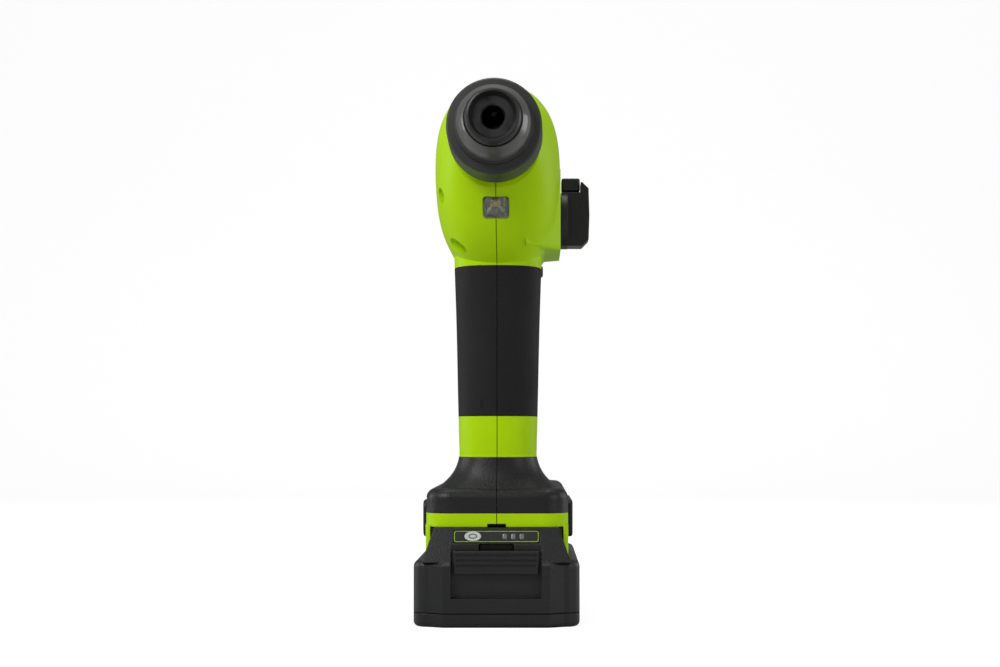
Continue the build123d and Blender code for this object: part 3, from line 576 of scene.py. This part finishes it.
class HAMMER_OT_battery(bpy.types.Operator):
    """Finish the battery's grained case, base and latch"""
    bl_idname = "hammer.battery"
    bl_label = "Battery Pack"

    def execute(self, context):
        colours = context.scene.hammer_colours
        case = moulded("Pack Plastic", colours.pack, 0.36, 1300.0, 0.00007, variation=0.2, edge_scale=1.6)
        give(case, "battery_case", "battery_base")
        latch = moulded("Latch Plastic", brighter(colours.pack, 0.9), 0.40, 1700.0, 0.00003, edge_scale=1.3)
        give(latch, "battery_latch")
        cells = moulded("Cell Wrap", (0.03, 0.16, 0.26), 0.3, 900.0, 0.00001, coat=0.3)
        give(cells, "battery_cells")
        return {"FINISHED"}


class HAMMER_OT_gauge(bpy.types.Operator):
    """Build the charge gauge's outline, its three lights and the ring mark on its key"""
    bl_idname = "hammer.gauge"
    bl_label = "Charge Gauge"

    def execute(self, context):
        colours = context.scene.hammer_colours
        sizes = context.scene.hammer_sizes
        panel = moulded("Gauge Panel", (0.016, 0.017, 0.017), 0.30, 2400.0, 0.000008, coat=0.2)
        give(panel, "gauge_panel")
        key = moulded("Gauge Key", colours.gauge_key, 0.45, 2400.0, 0.00001, worn=0.6)
        give(key, "gauge_button")
        line = moulded("Gauge Line", brighter(colours.lime, 0.75), 0.4, 3000.0, 0.000005)
        light = moulded("Gauge Light", (0.17, 0.185, 0.17), 0.22, 2400.0, 0.000005, coat=0.5)
        mark = moulded("Gauge Mark", (0.02, 0.022, 0.02), 0.4, 3000.0, 0.000005)

        def outline(form):
            outer = rounded_ring(0.0404, 0.0055, 0.0009)
            inner = rounded_ring(0.0398, 0.0049, 0.0007)
            stacked(form, [on_plane(gauge_middle, gauge_outward, inner, -0.00001),
                           on_plane(gauge_middle, gauge_outward, inner, -0.00008),
                           on_plane(gauge_middle, gauge_outward, outer, -0.00008),
                           on_plane(gauge_middle, gauge_outward, outer, -0.00001)])

        def lights(form):
            side = plane_axes(gauge_outward)[0]
            for x in (0.0040, 0.0081, 0.0122):
                spot = gauge_middle + side * x
                base = rounded_ring(0.0019, sizes.light_windows, 0.0003, 3)
                top = rounded_ring(0.0016, sizes.light_windows - 0.0003, 0.0002, 3)
                rings = [on_plane(spot, gauge_outward, outline, depth)
                         for outline, depth in ((base, 0.0008), (base, -0.00005), (top, -0.00012))]
                stacked(form, rings, close_first=True, close_last=True)

        def ring_mark(form):
            spot = gauge_middle + plane_axes(gauge_outward)[0] * -0.0113
            loops = []
            for across, tall, lift in ((0.0021, 0.0012, 0.00051), (0.0021, 0.0012, 0.00056),
                                       (0.0016, 0.0008, 0.00056), (0.0016, 0.0008, 0.00051)):
                ring = [(across * math.cos(2 * math.pi * k / 32), tall * math.sin(2 * math.pi * k / 32))
                        for k in range(32)]
                loops.append(on_plane(spot, gauge_outward, ring, -lift))
            stacked(form, loops)

        finish_piece("gauge_outline", outline, line, "battery")
        finish_piece("gauge_lights", lights, light, "battery")
        finish_piece("gauge_key_mark", ring_mark, mark, "gauge_button")
        return {"FINISHED"}


class HAMMER_OT_inner_works(bpy.types.Operator):
    """Finish the gearbox, hammer mechanism, motor and electrics inside"""
    bl_idname = "hammer.inner_works"
    bl_label = "Inner Works"

    def execute(self, context):
        colours = context.scene.hammer_colours
        give(metal("Cast Alloy", colours.cast, 0.45, ring_depth=0.000002), "gear_case", "gear_plate")
        give(metal("Gear Steel", colours.steel, 0.30), "spindle_gear")
        give(metal("Countershaft Steel", colours.steel, 0.30, axis_height=countershaft_height),
             "countershaft", "countershaft_gear", "wobble_hub", "wobble_ring", "clutch_sleeve")
        give(metal("Bearing Steel", (0.62, 0.62, 0.63), 0.18), "ball_bearings")
        give(metal("Turned Alloy", (0.62, 0.63, 0.64), 0.33), "piston")
        give(metal("Pressed Steel", (0.42, 0.42, 0.43), 0.38), "shift_fork", "knob_shaft")
        give(metal("Motor Can", (0.40, 0.40, 0.41), 0.34, axis_height=motor_height), "motor_can")
        give(metal("Rotor Steel", (0.30, 0.30, 0.31), 0.36, axis_height=motor_height),
             "rotor_core", "rotor_shaft")
        give(metal("Contact Brass", (0.70, 0.50, 0.20), 0.26), "terminal_blades", "battery_contacts")
        inner = moulded("Inner Plastic", (0.045, 0.045, 0.05), 0.5, 1800.0, 0.00002)
        give(inner, "brush_holder", "switch_body", "terminal_block", "cooling_fan")
        give(moulded("Seal Rubber", (0.01, 0.01, 0.01), 0.35, 2000.0, 0.00001), "striker_ring")
        board = moulded("Circuit Board", (0.012, 0.09, 0.035), 0.32, 1100.0, 0.00001, coat=0.4)
        give(board, "control_board", "lamp_board", "battery_board")
        return {"FINISHED"}


class HAMMER_OT_stage(bpy.types.Operator):
    """Set the pale floor, the soft studio lights and the camera"""
    bl_idname = "hammer.stage"
    bl_label = "Stage"

    def execute(self, context):
        scene = context.scene
        scene.view_settings.view_transform = "Standard"
        floor_mesh = bpy.data.meshes.new("studio_floor")
        form = bmesh.new()
        profile = [(-1.6, 0.0), (1.4, 0.0)]
        for k in range(13):
            a = math.radians(90 * k / 12)
            profile.append((1.4 + 0.6 * math.sin(a), 0.6 - 0.6 * math.cos(a)))
        profile.append((2.0, 2.6))
        columns = [[form.verts.new((x, y, z)) for y, z in profile] for x in (-3.0, 3.0)]
        for k in range(len(profile) - 1):
            form.faces.new((columns[0][k], columns[1][k], columns[1][k + 1], columns[0][k + 1]))
        form.to_mesh(floor_mesh)
        form.free()
        floor_mesh.shade_smooth()
        floor = bpy.data.objects.new("studio_floor", floor_mesh)
        scene.collection.objects.link(floor)
        paper, tree, shader = start_material("Studio Paper", 0.95)
        where = place(tree, "ShaderNodeTexCoord", -900, 0).outputs["Object"]
        fibres = noise(tree, where, 400.0, 4.0, -700, 0)
        tree.links.new(mix_colour(tree, fibres, (0.50, 0.50, 0.50), (0.54, 0.54, 0.54), -300, 0),
                       shader.inputs["Base Color"])
        shader.inputs["Emission Color"].default_value = (1.0, 1.0, 1.0, 1.0)
        seen = place(tree, "ShaderNodeLightPath", -900, -300).outputs["Is Camera Ray"]
        glow = maths(tree, "MULTIPLY", seen, paper_glow, -300, -300)
        tree.links.new(glow, shader.inputs["Emission Strength"])
        floor_mesh.materials.append(paper)

        world = bpy.data.worlds.new("Studio Air")
        world.use_nodes = True
        tree = world.node_tree
        air = tree.nodes["Background"]
        air.inputs["Color"].default_value = (1.0, 1.0, 1.0, 1.0)
        seen = place(tree, "ShaderNodeLightPath", -600, 0).outputs["Is Camera Ray"]
        tree.links.new(blend_values(tree, seen, air_glow, 1.0, -300, 0), air.inputs["Strength"])
        scene.world = world

        for name, where, size, power in softboxes:
            light = bpy.data.lights.new(name, "AREA")
            light.size = size
            light.energy = power
            lamp = bpy.data.objects.new(name, light)
            lamp.location = where
            aim = light_target - Vector(where)
            lamp.rotation_euler = aim.to_track_quat("-Z", "Y").to_euler()
            scene.collection.objects.link(lamp)

        view = bpy.data.cameras.new("bench_camera")
        view.lens = camera_lens
        view.sensor_width = camera_film
        view.clip_start = 0.01
        view.shift_x, view.shift_y = camera_shift
        camera = bpy.data.objects.new("bench_camera", view)
        camera.location = camera_place
        camera.rotation_euler = (math.radians(90), 0.0, 0.0)
        scene.collection.objects.link(camera)
        scene.camera = camera
        return {"FINISHED"}


operators = (
    HAMMER_OT_housing,
    HAMMER_OT_rubber,
    HAMMER_OT_chuck,
    HAMMER_OT_lamp,
    HAMMER_OT_controls,
    HAMMER_OT_battery,
    HAMMER_OT_gauge,
    HAMMER_OT_inner_works,
    HAMMER_OT_stage,
)


class HAMMER_PT_panel(bpy.types.Panel):
    """Lists the drill's pieces and settings"""
    bl_idname = "HAMMER_PT_panel"
    bl_label = "Hammer Drill"
    bl_space_type = "VIEW_3D"
    bl_region_type = "UI"
    bl_category = "Hammer Drill"

    def draw(self, context):
        scene = context.scene
        for settings in (scene.hammer_colours, scene.hammer_finish, scene.hammer_sizes):
            box = self.layout.box()
            for label in settings.__annotations__:
                box.prop(settings, label)
        for operator in operators:
            self.layout.operator(operator.bl_idname)


classes = (HammerColours, HammerFinish, HammerSizes, *operators, HAMMER_PT_panel)


def register():
    for item in classes:
        bpy.utils.register_class(item)
    bpy.types.Scene.hammer_colours = PointerProperty(type=HammerColours)
    bpy.types.Scene.hammer_finish = PointerProperty(type=HammerFinish)
    bpy.types.Scene.hammer_sizes = PointerProperty(type=HammerSizes)


def unregister():
    del bpy.types.Scene.hammer_sizes
    del bpy.types.Scene.hammer_finish
    del bpy.types.Scene.hammer_colours
    for item in reversed(classes):
        bpy.utils.unregister_class(item)


def main():
    register()
    bpy.ops.hammer.housing()
    bpy.ops.hammer.rubber()
    bpy.ops.hammer.chuck()
    bpy.ops.hammer.lamp()
    bpy.ops.hammer.controls()
    bpy.ops.hammer.battery()
    bpy.ops.hammer.gauge()
    bpy.ops.hammer.inner_works()
    bpy.ops.hammer.stage()


if __name__ == "__main__":
    main()
